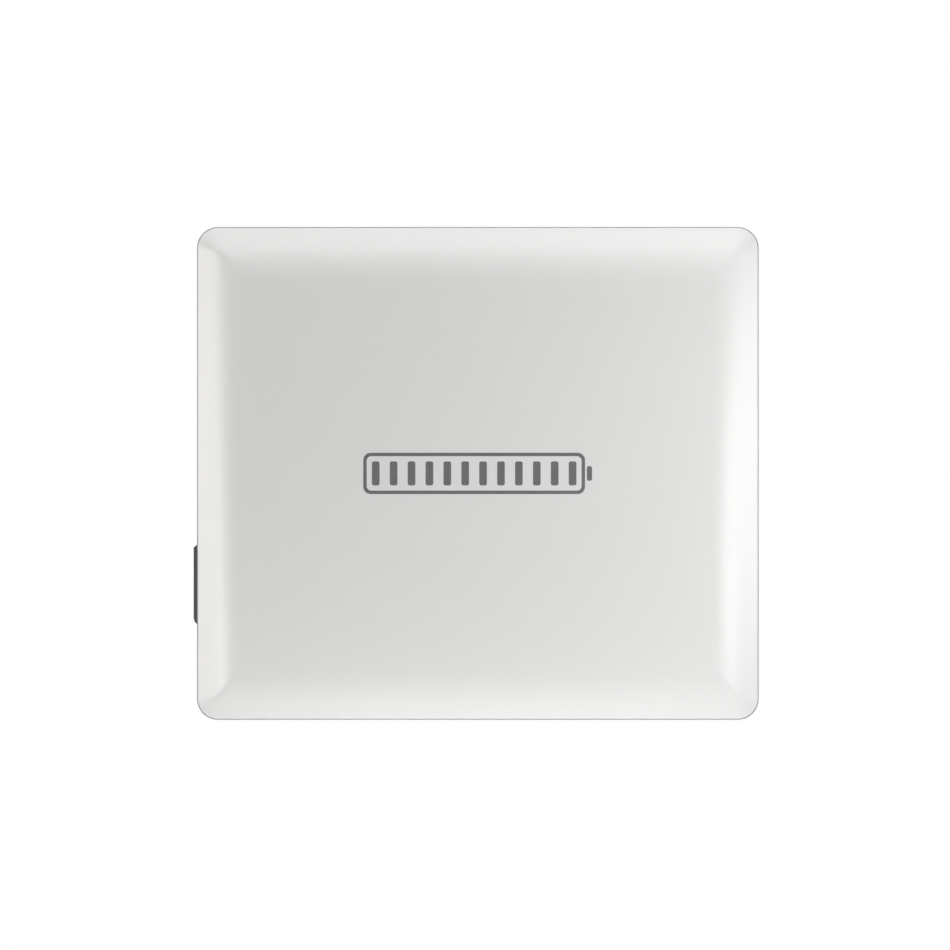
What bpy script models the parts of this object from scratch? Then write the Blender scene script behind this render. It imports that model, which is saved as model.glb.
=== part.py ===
"""Wall battery unit: a sealed cast housing that hangs on a steel wall bracket, with a pull-off front cover.

Metres, +Z up. The origin is on the wall plane, in the middle of the bracket. +Y points into the wall, the
front cover faces -Y, and +X is on the right of someone who looks at the front.
"""

import math

import bmesh
import bpy
from mathutils import Matrix, Vector

# ---------------------------------------------------------------- driving dimensions
GAP = 0.0003  # left between pieces that touch

COVER_HALF_X, COVER_HALF_Z = 0.457, 0.401
COVER_CORNER = 0.034
COVER_WALL = 0.0025
COVER_REAR_Y, COVER_EDGE_Y = -0.106, -0.190
COVER_EDGE_RADIUS = 0.003
COVER_LIP = 0.009  # inward return at the cover's rear edge
TAPER_START = 0.010
TAPER_SLOPE, TAPER_WIDTH, TAPER_BLEND = 0.31, 0.032, 0.056
SIDE_TAPER = 0.90  # how wide the side tapers are, against the top and bottom ones

HOUSING_HALF_X, HOUSING_HALF_Z = 0.441, 0.385
HOUSING_CORNER = 0.026
HOUSING_REAR_Y, HOUSING_FRONT_Y = -0.022, -0.180
BACK_PLATE_Y = (-0.0603, -0.0563)  # inner and outer face
SKIRT_WALL, BAY_WALL, LAND = 0.006, 0.005, 0.020
LAND_REAR_Y = -0.168
BULKHEAD_X = (-0.304, -0.298)
BULKHEAD_LAND = 0.013
BAY_CORNER, OPENING_CORNER = 0.020, 0.012
SPLIT_X = -0.301  # where the two lids meet

SEAL_GAP, SEAL_WIDTH, SEAL_THICK = 0.0015, 0.004, 0.0015
LID_Y = HOUSING_FRONT_Y - SEAL_THICK - 2 * GAP  # rear face of both lids
LID_WALL, LID_RAISE, LID_FLANGE, LID_STEP = 0.002, 0.005, 0.026, 0.008
LID_FRONT_Y = LID_Y - LID_WALL
LID_PANEL_Y = LID_FRONT_Y - LID_RAISE
SCREW_INSET = 0.0095  # from an opening's edge to the screws round it
SCREW_ROW_Z = 0.330

STUD_X, STUD_Z = 0.355, 0.300

FIN_COUNT, FIN_PITCH, FIN_THICK = 41, 0.020, 0.0024
FIN_TIP_Y = -0.024
SINK_BASE_Y = (-0.0558, -0.0508)
SINK_HALF_Z = 0.285

RAIL_HALF_X, RAIL_PLATE = 0.350, 0.003
RAIL_SLOTS_X = (-0.3048, -0.2032, 0.2032, 0.3048)  # for studs at 16 and 24 inch centres
HOOK_X, HOOK_WIDTH = 0.240, 0.110
LOCK_X, LOCK_Y, LOCK_BORE = 0.250, -0.0510, 0.0029
TAB_Z = (-0.3885, -0.3855)  # the lower rail's tabs, under the housing
BUFFER_X, BUFFER_Z, BUFFER_RADIUS = 0.333, -0.345, 0.014

POD_Y = (-0.1035, -0.0435)
FLAP_X = -0.4672  # the flap's outer face
FLAP_TOP_Z, FLAP_BOTTOM_Z = -0.1217, -0.2373
FLAP_WALL = 0.0025
HINGE_X, HINGE_Z = -0.4505, -0.1117
PIN_RADIUS, PIN_BORE = 0.0015, 0.00175
EARS_Y = ((-0.0985, -0.0905), (-0.0565, -0.0485))
KNOB_Y, KNOB_Z, KNOB_RADIUS = -0.0785, -0.1850, 0.020
SHAFT_RADIUS, SHAFT_BORE = 0.004, 0.0045
ISOLATOR_DEPTH = 0.044  # of the switch body behind the housing's wall

ENTRY_Y, HUB_X, PLUG_X = -0.083, -0.398, -0.342
HUB_BORE, HUB_THREAD, HUB_FLANGE = 0.015, 0.0168, 0.020

MODULE_TOP_Z, MODULE_BOTTOM_Z = 0.0620, -0.3540
MODULE_Y = (-0.1689, -0.0609)
CELLS, CELL_GROOVE, CELL_GROOVE_DEPTH = 8, 0.003, 0.004
MODULES_X = ((-0.262, 0.064), (0.074, 0.400))

# ---------------------------------------------------------------- scene and finishes
for old in list(bpy.data.objects):
    bpy.data.objects.remove(old)


def new_collection(name):
    made = bpy.data.collections.new(name)
    bpy.context.scene.collection.children.link(made)
    return made


UNIT = new_collection("wall_battery_unit")
CUTTERS = new_collection("cutters")


def finish(name, colour, roughness, metallic=0.0):
    made = bpy.data.materials.new(name)
    made.use_nodes = True
    shader = made.node_tree.nodes["Principled BSDF"]
    shader.inputs["Base Color"].default_value = (*colour, 1.0)
    shader.inputs["Roughness"].default_value = roughness
    shader.inputs["Metallic"].default_value = metallic
    made.diffuse_color = (*colour, 1.0)
    return made


WHITE = finish("satin_white", (0.86, 0.86, 0.85), 0.32)
CAST_GREY = finish("cast_grey", (0.23, 0.24, 0.25), 0.55, 0.3)
LID_METAL = finish("lid_aluminium", (0.62, 0.63, 0.64), 0.42, 0.9)
SINK_METAL = finish("anodised_aluminium", (0.10, 0.10, 0.11), 0.45, 0.6)
BRACKET_STEEL = finish("bracket_steel", (0.55, 0.56, 0.57), 0.40, 0.9)
SCREW_STEEL = finish("screw_steel", (0.66, 0.66, 0.65), 0.30, 1.0)
POD_PLASTIC = finish("slate_plastic", (0.062, 0.066, 0.072), 0.45)
RUBBER = finish("black_rubber", (0.02, 0.02, 0.02), 0.80)
LENS = finish("status_lens", (0.78, 0.82, 0.86), 0.20)
CELL_CASE = finish("cell_case", (0.06, 0.16, 0.36), 0.45, 0.2)
COPPER = finish("copper", (0.72, 0.42, 0.26), 0.32, 1.0)
BOARD = finish("circuit_board", (0.03, 0.17, 0.08), 0.45)
BLACK_PLASTIC = finish("black_plastic", (0.03, 0.03, 0.03), 0.50)
CLIP_PLASTIC = finish("natural_nylon", (0.74, 0.73, 0.68), 0.50)
CABLE_ORANGE = finish("cable_jacket_orange", (0.75, 0.22, 0.03), 0.50)


# ---------------------------------------------------------------- shapes
def add(name, mesh, surface=None, is_cutter=False):
    """Links a mesh as one named object, either a part or a hidden cutter."""
    obj = bpy.data.objects.new(name, mesh)
    (CUTTERS if is_cutter else UNIT).objects.link(obj)
    if surface:
        mesh.materials.append(surface)
    if is_cutter:
        obj.hide_render = True
        obj.display_type = "WIRE"
    return obj


def box(name, x, y, z, surface=None, is_cutter=False):
    """A block between (low, high) on each axis, with its origin in its middle."""
    low, high = Vector((x[0], y[0], z[0])), Vector((x[1], y[1], z[1]))
    shape = bmesh.new()
    bmesh.ops.create_cube(shape, size=1.0, matrix=Matrix.Diagonal((*(high - low), 1.0)))
    mesh = bpy.data.meshes.new(name)
    shape.to_mesh(mesh)
    shape.free()
    obj = add(name, mesh, surface, is_cutter)
    obj.location = (low + high) / 2
    return obj


# The turn that lays a shape made along local Z, such as a cylinder or an extrusion, along a world axis.
ALONG = {
    "X": Matrix(((0, 0, 1), (1, 0, 0), (0, 1, 0))).to_euler(),  # local x, y lie on world Y, Z
    "Y": Matrix(((1, 0, 0), (0, 0, -1), (0, 1, 0))).to_euler(),  # local x, y lie on world X, Z
    "Z": Matrix.Identity(3).to_euler(),
}


def cylinder(name, centre, radius, length, axis, surface=None, sides=16, is_cutter=False):
    shape = bmesh.new()
    bmesh.ops.create_cone(shape, cap_ends=True, segments=sides, radius1=radius, radius2=radius, depth=length)
    mesh = bpy.data.meshes.new(name)
    shape.to_mesh(mesh)
    shape.free()
    obj = add(name, mesh, surface, is_cutter)
    obj.location = centre
    obj.rotation_euler = ALONG[axis]
    return obj


def to_solid(curve_object, surface=None, is_cutter=False):
    """The curve's evaluated mesh with its caps welded on, in the curve's place."""
    graph = bpy.context.evaluated_depsgraph_get()
    mesh = bpy.data.meshes.new_from_object(curve_object.evaluated_get(graph))
    shape = bmesh.new()
    shape.from_mesh(mesh)
    bmesh.ops.remove_doubles(shape, verts=shape.verts, dist=1e-6)
    bmesh.ops.recalc_face_normals(shape, faces=shape.faces)
    shape.to_mesh(mesh)
    shape.free()
    mesh.materials.clear()
    name, place = curve_object.name, curve_object.matrix_world.copy()
    bpy.data.objects.remove(curve_object)
    obj = add(name, mesh, surface, is_cutter)
    obj.matrix_world = place
    return obj


def prism(name, outline, span, axis, surface=None, is_cutter=False):
    """A flat outline in (y, z), (x, z) or (x, y), extruded between span's two places on the axis."""
    curve = bpy.data.curves.new(name, "CURVE")
    curve.dimensions = "2D"
    curve.fill_mode = "BOTH"
    curve.extrude = abs(span[1] - span[0]) / 2
    spline = curve.splines.new("POLY")
    spline.points.add(len(outline) - 1)
    for point, (u, v) in zip(spline.points, outline):
        point.co = (u, v, 0.0, 1.0)
    spline.use_cyclic_u = True
    obj = bpy.data.objects.new(name, curve)
    UNIT.objects.link(obj)
    obj.rotation_euler = ALONG[axis]
    obj.location["XYZ".index(axis)] = (span[0] + span[1]) / 2
    bpy.context.view_layer.update()
    return to_solid(obj, surface, is_cutter)


def turned(name, profile, centre, axis, surface, steps=16):
    """A profile of (radius, height) points spun round the axis. A profile that stays off the axis closes."""
    hollow = all(radius > 0 for radius, _ in profile)
    mesh = bpy.data.meshes.new(name)
    edges = [(i, i + 1) for i in range(len(profile) - 1)]
    if hollow:
        edges.append((len(profile) - 1, 0))
    mesh.from_pydata([(radius, 0.0, height) for radius, height in profile], edges, [])
    obj = add(name, mesh, surface)
    obj.location = centre
    obj.rotation_euler = ALONG[axis]
    screw = obj.modifiers.new("turn", "SCREW")
    screw.steps = screw.render_steps = steps
    screw.use_merge_vertices = True
    screw.merge_threshold = 1e-6
    screw.use_smooth_shade = True
    return obj


def tube(name, route, radius, surface):
    """A cable along a smooth curve through the route's points."""
    samples = 4
    ends = [route[0], *route, route[-1]]
    smooth = []
    for i in range(1, len(ends) - 2):
        a, b, c, d = (Vector(p) for p in ends[i - 1 : i + 3])
        for k in range(samples):
            t = k / samples
            square_term = (2 * a - 5 * b + 4 * c - d) * t**2
            cube_term = (3 * b - a - 3 * c + d) * t**3
            smooth.append(0.5 * (2 * b + (c - a) * t + square_term + cube_term))
    smooth.append(Vector(route[-1]))
    curve = bpy.data.curves.new(name, "CURVE")
    curve.dimensions = "3D"
    curve.bevel_depth = radius
    curve.bevel_resolution = 2
    curve.use_fill_caps = True
    spline = curve.splines.new("POLY")
    spline.points.add(len(smooth) - 1)
    for point, place in zip(spline.points, smooth):
        point.co = (*place, 1.0)
    curve.materials.append(surface)
    obj = bpy.data.objects.new(name, curve)
    UNIT.objects.link(obj)
    return obj


def torus(name, centre, major, minor, axis, surface):
    """A ring lying square to the axis."""
    bpy.ops.mesh.primitive_torus_add(
        location=centre,
        rotation=ALONG[axis],
        major_radius=major,
        minor_radius=minor,
        major_segments=20,
        minor_segments=6,
    )
    obj = bpy.context.object
    obj.name = obj.data.name = name
    for holder in obj.users_collection:
        holder.objects.unlink(obj)
    UNIT.objects.link(obj)
    obj.data.materials.append(surface)
    obj.data.shade_smooth()
    return obj


def boolean(obj, operation, others):
    for other in others:
        modifier = obj.modifiers.new(f"{operation.lower()} {other.name}", "BOOLEAN")
        modifier.operation = operation
        modifier.object = other
    return obj


def cut(obj, *cutters):
    return boolean(obj, "DIFFERENCE", cutters)


def fuse(obj, *others):
    return boolean(obj, "UNION", others)


def round_edges(obj, width, segments=2, angle=60):
    bevel = obj.modifiers.new("round edges", "BEVEL")
    bevel.width = width
    bevel.segments = segments
    bevel.limit_method = "ANGLE"
    bevel.angle_limit = math.radians(angle)
    bevel.harden_normals = False
    return obj


def rounded_rectangle(x, z, radius, steps=5):
    """A closed outline with four corner arcs, anticlockwise from the front. x and z are (low, high)."""
    points = []
    corners = ((x[1], z[1], -1, -1), (x[0], z[1], 1, -1), (x[0], z[0], 1, 1), (x[1], z[0], -1, 1))
    for quarter, (corner_x, corner_z, inward_x, inward_z) in enumerate(corners):
        for step in range(steps + 1):
            angle = (quarter + step / steps) * math.pi / 2
            points.append(
                (
                    corner_x + inward_x * radius + radius * math.cos(angle),
                    corner_z + inward_z * radius + radius * math.sin(angle),
                )
            )
    return points


def rounded_block(name, x, y, z, radius, surface=None, is_cutter=False):
    return prism(name, rounded_rectangle(x, z, radius), y, "Y", surface, is_cutter)


def shell(name, rings, thickness, surface):
    """A sheet through the rings, rear to front, closed by its last ring and thickened inwards."""
    shape = bmesh.new()
    rows = [[shape.verts.new((x, y, z)) for x, z in outline] for outline, y in rings]
    for rear, front in zip(rows, rows[1:]):
        for i in range(len(rear)):
            j = (i + 1) % len(rear)
            shape.faces.new((rear[i], rear[j], front[j], front[i]))
    shape.faces.new(rows[-1])
    mesh = bpy.data.meshes.new(name)
    shape.to_mesh(mesh)
    shape.free()
    obj = add(name, mesh, surface)
    solidify = obj.modifiers.new("sheet thickness", "SOLIDIFY")
    solidify.thickness = thickness
    solidify.offset = -1.0
    return obj


def frame_ring(name, x, z, y, inset, width, corner, surface):
    """A flat gasket: its inner edge lies inset outside the opening x, z."""
    low = inset + width
    ring = rounded_block(
        name, (x[0] - low, x[1] + low), y, (z[0] - low, z[1] + low), corner + low, surface
    )
    hole = rounded_block(
        name + "_hole",
        (x[0] - inset, x[1] + inset),
        (y[0] - 0.01, y[1] + 0.01),
        (z[0] - inset, z[1] + inset),
        corner + inset,
        is_cutter=True,
    )
    return cut(ring, hole)


# ---------------------------------------------------------------- wall bracket
def wall_bracket():
    """Two rails joined by a spine. The upper rail's lip carries the unit, the lower rail's tabs lock it."""
    slot_z, slot_half_height, slot_half_length = 0.296, 0.0045, 0.012

    def slots(prefix, z):
        return [
            rounded_block(
                f"{prefix}_slot_{number}",
                (x - slot_half_length, x + slot_half_length),
                (-0.010, 0.010),
                (z - slot_half_height, z + slot_half_height),
                0.0042,
                is_cutter=True,
            )
            for number, x in enumerate(RAIL_SLOTS_X)
        ]

    upper_profile = [
        (0.0, 0.262),
        (-RAIL_PLATE, 0.262),
        (-RAIL_PLATE, 0.330),
        (-0.0148, 0.330),
        (-0.0148, 0.3597),
        (-0.0118, 0.3597),
        (-0.0118, 0.333),
        (0.0, 0.333),
    ]
    upper = prism("upper_wall_rail", upper_profile, (-RAIL_HALF_X, RAIL_HALF_X), "X", BRACKET_STEEL)
    cut(upper, *slots("upper", slot_z))

    lower_z = (-0.392, -0.322)
    lower = box("lower_wall_rail", (-RAIL_HALF_X, RAIL_HALF_X), (-RAIL_PLATE, 0.0), lower_z, BRACKET_STEEL)
    tab_half_width = 0.020
    for side, x in (("left", -LOCK_X), ("right", LOCK_X)):
        reach_y = (LOCK_Y - 0.009, -0.001)
        tab = box(f"{side}_tab", (x - tab_half_width, x + tab_half_width), reach_y, TAB_Z, is_cutter=True)
        middle = (x, LOCK_Y, TAB_Z[1])
        hole = cylinder(f"{side}_tab_hole", middle, LOCK_BORE, 0.02, "Z", sides=12, is_cutter=True)
        fuse(lower, tab)
        cut(lower, hole)
    cut(lower, *slots("lower", -0.352))

    spine_z = (lower_z[1] + GAP, upper_profile[0][1] - GAP)
    box("bracket_spine", (-0.060, 0.060), (-RAIL_PLATE, 0.0), spine_z, BRACKET_STEEL)


def housing_hangers():
    """Hooks on the housing's back that drop over the rail's lip, and rubber buffers behind its foot."""
    back_y = BACK_PLATE_Y[1] + GAP
    arm_z, top_z = 0.360, 0.366
    profile = [
        (back_y, 0.296),
        (back_y + 0.004, 0.296),
        (back_y + 0.004, arm_z),
        (-0.0105, arm_z),
        (-0.0105, 0.336),
        (-0.0065, 0.336),
        (-0.0065, top_z),
        (back_y, top_z),
    ]
    for side, x in (("left", -HOOK_X), ("right", HOOK_X)):
        prism(f"hanger_hook_{side}", profile, (x - HOOK_WIDTH / 2, x + HOOK_WIDTH / 2), "X", BRACKET_STEEL)
    for side, x in (("left", -BUFFER_X), ("right", BUFFER_X)):
        reach = -RAIL_PLATE - GAP - back_y
        centre_y = (back_y - RAIL_PLATE - GAP) / 2
        middle = (x, centre_y, BUFFER_Z)
        cylinder(f"rubber_buffer_{side}", middle, BUFFER_RADIUS, reach, "Y", RUBBER, sides=20)


# ---------------------------------------------------------------- housing and lids
BATTERY_OPENING_X = (BULKHEAD_X[1] + BULKHEAD_LAND, HOUSING_HALF_X - LAND)
WIRING_OPENING_X = (-HOUSING_HALF_X + LAND, BULKHEAD_X[0] - BULKHEAD_LAND)
OPENING_Z = (-HOUSING_HALF_Z + LAND, HOUSING_HALF_Z - LAND)


def lid_screw_places():
    """(name, x, z) of every lid screw."""
    right, left = BATTERY_OPENING_X[1] + SCREW_INSET, BATTERY_OPENING_X[0] - SCREW_INSET
    middle = sum(BATTERY_OPENING_X) / 2
    top = OPENING_Z[1] + SCREW_INSET
    places = [(right, SCREW_ROW_Z), (right, -SCREW_ROW_Z), (left, SCREW_ROW_Z), (left, -SCREW_ROW_Z)]
    places += [(middle, top), (middle, -top)]
    named = [(f"lid_screw_{number}", x, z) for number, (x, z) in enumerate(places, 1)]
    right, left = WIRING_OPENING_X[1] + SCREW_INSET, WIRING_OPENING_X[0] - SCREW_INSET
    places = [(x, z) for x in (left, right) for z in (SCREW_ROW_Z, -SCREW_ROW_Z)]
    return named + [(f"wiring_screw_{number}", x, z) for number, (x, z) in enumerate(places, 1)]


def bay_cutters(name, bay_x, opening_x):
    """A bay with a land left standing round its front opening."""
    bay_z = (-HOUSING_HALF_Z + BAY_WALL, HOUSING_HALF_Z - BAY_WALL)
    bay = rounded_block(
        f"{name}_bay", bay_x, (LAND_REAR_Y, BACK_PLATE_Y[0]), bay_z, BAY_CORNER, is_cutter=True
    )
    mouth_y = (HOUSING_FRONT_Y - 0.01, LAND_REAR_Y + 0.01)
    mouth = rounded_block(f"{name}_mouth", opening_x, mouth_y, OPENING_Z, OPENING_CORNER, is_cutter=True)
    return [bay, mouth]


def rear_housing():
    """The casting: a rear skirt round the heat sink, a back plate, and two bays behind a machined land."""
    housing = rounded_block(
        "rear_housing",
        (-HOUSING_HALF_X, HOUSING_HALF_X),
        (HOUSING_FRONT_Y, HOUSING_REAR_Y),
        (-HOUSING_HALF_Z, HOUSING_HALF_Z),
        HOUSING_CORNER,
        CAST_GREY,
    )
    pocket = rounded_block(
        "skirt_pocket",
        (-HOUSING_HALF_X + SKIRT_WALL, HOUSING_HALF_X - SKIRT_WALL),
        (BACK_PLATE_Y[1], 0.0),
        (-HOUSING_HALF_Z + SKIRT_WALL, HOUSING_HALF_Z - SKIRT_WALL),
        BAY_CORNER,
        is_cutter=True,
    )
    air_way = box("air_way", (-0.375, 0.375), (-0.046, 0.0), (-0.5, 0.5), is_cutter=True)
    cut(housing, pocket, air_way)
    cut(housing, *bay_cutters("battery", (BULKHEAD_X[1], HOUSING_HALF_X - BAY_WALL), BATTERY_OPENING_X))
    cut(housing, *bay_cutters("wiring", (-HOUSING_HALF_X + BAY_WALL, BULKHEAD_X[0]), WIRING_OPENING_X))

    side_x = -HOUSING_HALF_X
    bottom_z = -HOUSING_HALF_Z
    bulkhead_x = sum(BULKHEAD_X) / 2
    round_holes = [
        ("shaft_way", (side_x, KNOB_Y, KNOB_Z), 0.0056, "X"),
        ("hub_way", (HUB_X, ENTRY_Y, bottom_z), 0.0172, "Z"),
        ("plug_way", (PLUG_X, ENTRY_Y, bottom_z), 0.0150, "Z"),
        ("dc_cable_way", (bulkhead_x, DC_WAY_Y, DC_WAY_Z), 0.0085, "X"),
        ("ac_cable_way", (bulkhead_x, AC_WAY_Y, AC_WAY_Z), 0.0095, "X"),
        ("left_lock_way", (-LOCK_X, LOCK_Y, bottom_z), LOCK_BORE, "Z"),
        ("right_lock_way", (LOCK_X, LOCK_Y, bottom_z), LOCK_BORE, "Z"),
    ]
    for name, centre, radius, axis in round_holes:
        cut(housing, cylinder(name, centre, radius, 0.030, axis, sides=20, is_cutter=True))
    for name, x, z in lid_screw_places():
        hole = cylinder(f"{name}_way", (x, HOUSING_FRONT_Y, z), 0.0023, 0.040, "Y", sides=8, is_cutter=True)
        cut(housing, hole)
    lens_slot = box("lens_slot", (side_x - 0.01, side_x + 0.003), LENS_SLOT_Y, LENS_SLOT_Z, is_cutter=True)
    cut(housing, lens_slot)


def lids_and_seals():
    """A gasket and a pressed lid over each bay, held by screws in the land."""
    seal_y = (HOUSING_FRONT_Y - GAP - SEAL_THICK, HOUSING_FRONT_Y - GAP)
    half_x, half_z = HOUSING_HALF_X - 0.002, HOUSING_HALF_Z - 0.002
    bays = (
        ("lid_seal", "battery_lid", BATTERY_OPENING_X, (SPLIT_X + 0.0005, half_x)),
        ("wiring_seal", "wiring_cover", WIRING_OPENING_X, (-half_x, SPLIT_X - 0.0005)),
    )
    for seal_name, lid_name, opening_x, lid_x in bays:
        frame_ring(seal_name, opening_x, OPENING_Z, seal_y, SEAL_GAP, SEAL_WIDTH, OPENING_CORNER, RUBBER)

        def ring(inset, y, corner):
            x = (lid_x[0] + inset, lid_x[1] - inset)
            z = (-half_z + inset, half_z - inset)
            return rounded_rectangle(x, z, corner, steps=3), y

        rings = [
            ring(0.0, LID_FRONT_Y, 0.010),
            ring(LID_FLANGE, LID_FRONT_Y, 0.012),
            ring(LID_FLANGE + LID_STEP, LID_PANEL_Y, 0.008),
        ]
        lid = shell(lid_name, rings, LID_WALL, LID_METAL)
        for name, x, z in lid_screw_places():
            if lid_x[0] < x < lid_x[1]:
                middle = (x, LID_FRONT_Y, z)
                hole = cylinder(f"{name}_lid_way", middle, 0.0024, 0.02, "Y", sides=8, is_cutter=True)
                cut(lid, hole)


# How a screw points: which way its head faces, and the turn that carries local +Z that way.
FRONT = (Vector((0, -1, 0)), ALONG["Y"])
DOWN = (Vector((0, 0, -1)), Matrix.Rotation(math.pi, 3, "X").to_euler())


def screw(name, seat, facing, head_radius, head_height, shank_radius, shank_length):
    """A pan-head screw with a hex socket. seat is the middle of the face that its head bears on."""
    outward, turn = facing
    profile = [
        (0.0, head_height),
        (head_radius * 0.72, head_height),
        (head_radius, head_height * 0.45),
        (head_radius, 0.0),
        (shank_radius, 0.0),
        (shank_radius, -shank_length),
        (0.0, -shank_length),
    ]
    body = turned(name, profile, Vector(seat) + outward * GAP, "Z", SCREW_STEEL, steps=12)
    body.rotation_euler = turn
    socket_centre = Vector(seat) + outward * (GAP + head_height * 0.95)
    socket_radius = head_radius * 0.52
    size = (socket_radius, head_height)
    socket = cylinder(f"{name}_socket", socket_centre, *size, "Z", sides=6, is_cutter=True)
    socket.rotation_euler = turn
    return cut(body, socket)


def fixings():
    """Lid screws from the front, and two screws that lock the housing to the bracket's tabs from below."""
    for name, x, z in lid_screw_places():
        screw(name, (x, LID_FRONT_Y, z), FRONT, 0.0040, 0.0028, 0.0020, 0.0135)
    for side, x in (("left", -LOCK_X), ("right", LOCK_X)):
        screw(f"lock_screw_{side}", (x, LOCK_Y, TAB_Z[0]), DOWN, 0.0048, 0.0034, 0.0025, 0.0120)


def heat_sink():
    """A finned extrusion behind the back plate, fins upright so that air rises between them."""
    rear_y, front_y = SINK_BASE_Y[1], SINK_BASE_Y[0]
    half_width = (FIN_COUNT - 1) / 2 * FIN_PITCH + FIN_THICK / 2
    outline = [(-half_width, front_y), (half_width, front_y)]
    for number in reversed(range(FIN_COUNT)):
        x = (number - (FIN_COUNT - 1) / 2) * FIN_PITCH
        corners = [(x + FIN_THICK / 2, rear_y), (x + FIN_THICK / 2, FIN_TIP_Y)]
        corners += [(x - FIN_THICK / 2, FIN_TIP_Y), (x - FIN_THICK / 2, rear_y)]
        if number == FIN_COUNT - 1:
            corners = corners[1:]
        if number == 0:
            corners = corners[:-1]
        outline += corners
    prism("heat_sink", outline, (-SINK_HALF_Z, SINK_HALF_Z), "Z", SINK_METAL)


# ---------------------------------------------------------------- front cover
def cover_rise(inset):
    """How far the cover's face stands forward of its edge, at a distance in from the edge."""
    if inset <= TAPER_WIDTH:
        return TAPER_SLOPE * inset
    along = min(inset - TAPER_WIDTH, TAPER_BLEND)
    return TAPER_SLOPE * (TAPER_WIDTH + along - along**2 / (2 * TAPER_BLEND))


def front_cover():
    """A moulded tray: a return lip behind, a rounded edge, and a face that tapers up to a flat middle."""

    def ring(inset, y):
        corner = max(COVER_CORNER - inset, 0.012)
        inset_x = inset if inset < TAPER_START else TAPER_START + (inset - TAPER_START) * SIDE_TAPER
        x = (-COVER_HALF_X + inset_x, COVER_HALF_X - inset_x)
        return rounded_rectangle(x, (-COVER_HALF_Z + inset, COVER_HALF_Z - inset), corner), y

    radius = COVER_EDGE_RADIUS
    rings = [ring(COVER_LIP, COVER_REAR_Y), ring(0.0, COVER_REAR_Y), ring(0.0, COVER_EDGE_Y + radius)]
    rings.append(ring(radius * 0.3, COVER_EDGE_Y + radius * 0.3))
    blend_steps = 4
    insets = [radius, TAPER_WIDTH]
    insets += [TAPER_WIDTH + TAPER_BLEND * step / blend_steps for step in range(1, blend_steps + 1)]
    rings += [ring(inset, COVER_EDGE_Y - cover_rise(inset)) for inset in insets]
    cover = shell("front_cover", rings, COVER_WALL, WHITE)
    cover.data.shade_smooth()
    cover.data.set_sharp_from_angle(angle=math.radians(40))


def cover_fastenings():
    """Ball studs inside the cover that push into sockets on the lids, so that the cover pulls off."""
    stud_base_y = COVER_EDGE_Y - cover_rise(1.0) + COVER_WALL + GAP
    ball_radius, ball_y = 0.0050, -0.1968
    clip_base_y = LID_PANEL_Y - GAP
    places = [(x, z) for z in (STUD_Z, -STUD_Z) for x in (-STUD_X, STUD_X)]
    # Heights are measured forward from the ball's middle, towards the cover.
    base = ball_y - stud_base_y
    stud = [(0.0, base), (0.012, base), (0.012, base - 0.0020), (0.0035, base - 0.0025), (0.0035, 0.0036)]
    for angle in (60, 90, 125, 155):
        turn = math.radians(angle)
        stud.append((ball_radius * math.sin(turn), ball_radius * math.cos(turn)))
    stud.append((0.0, -ball_radius))
    # Heights are measured forward from the lid's panel.
    clip = [(0.0090, 0.0100), (0.0090, 0.0020), (0.0140, 0.0015), (0.0140, 0.0), (0.0, 0.0)]
    clip = [(0.0, 0.0018), (0.0058, 0.0018), (0.0058, 0.0100), *clip]
    for number, (x, z) in enumerate(places, 1):
        turned(f"cover_stud_{number}", stud, (x, ball_y, z), "Y", CLIP_PLASTIC)
        turned(f"cover_clip_{number}", clip, (x, clip_base_y, z), "Y", BLACK_PLASTIC)


# ---------------------------------------------------------------- isolator switch on the left side
LENS_SLOT_Y, LENS_SLOT_Z = (-0.084, -0.076), (-0.082, -0.046)
WALL_X = -HOUSING_HALF_X


def pin_way(name):
    """A cutter for the hinge pin's bore, through both ears and the flap's barrel."""
    centre = (HINGE_X, sum(POD_Y) / 2, HINGE_Z)
    return cylinder(name, centre, PIN_BORE, 0.054, "Y", sides=12, is_cutter=True)


def switch_bezel():
    """A backing plate on the housing's side, with a collar round the shaft and two hinge ears."""
    plate_x = (WALL_X - GAP - 0.003, WALL_X - GAP)
    bezel = box("switch_bezel", plate_x, POD_Y, (FLAP_BOTTOM_Z - 0.016, -0.1000), POD_PLASTIC)
    round_edges(bezel, 0.001, 1)
    collar_x = (plate_x[0] + 0.001, plate_x[0] - 0.0025)
    collar_centre = (sum(collar_x) / 2, KNOB_Y, KNOB_Z)
    collar_length = collar_x[0] - collar_x[1]
    collar = cylinder("collar", collar_centre, 0.009, collar_length, "X", sides=24, is_cutter=True)
    fuse(bezel, collar)
    ear_radius = 0.004
    for number, ear_y in enumerate(EARS_Y):
        middle, width = sum(ear_y) / 2, ear_y[1] - ear_y[0]
        foot_z = (HINGE_Z - ear_radius, HINGE_Z + ear_radius)
        foot = box(f"ear_foot_{number}", (HINGE_X, plate_x[0] + 0.001), ear_y, foot_z, is_cutter=True)
        place = (HINGE_X, middle, HINGE_Z)
        eye = cylinder(f"ear_eye_{number}", place, ear_radius, width, "Y", is_cutter=True)
        fuse(bezel, foot, eye)
    shaft_place = (WALL_X, KNOB_Y, KNOB_Z)
    shaft_way = cylinder("bezel_shaft_way", shaft_place, SHAFT_BORE, 0.02, "X", sides=20, is_cutter=True)
    cut(bezel, pin_way("ear_bore"), shaft_way)


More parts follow.
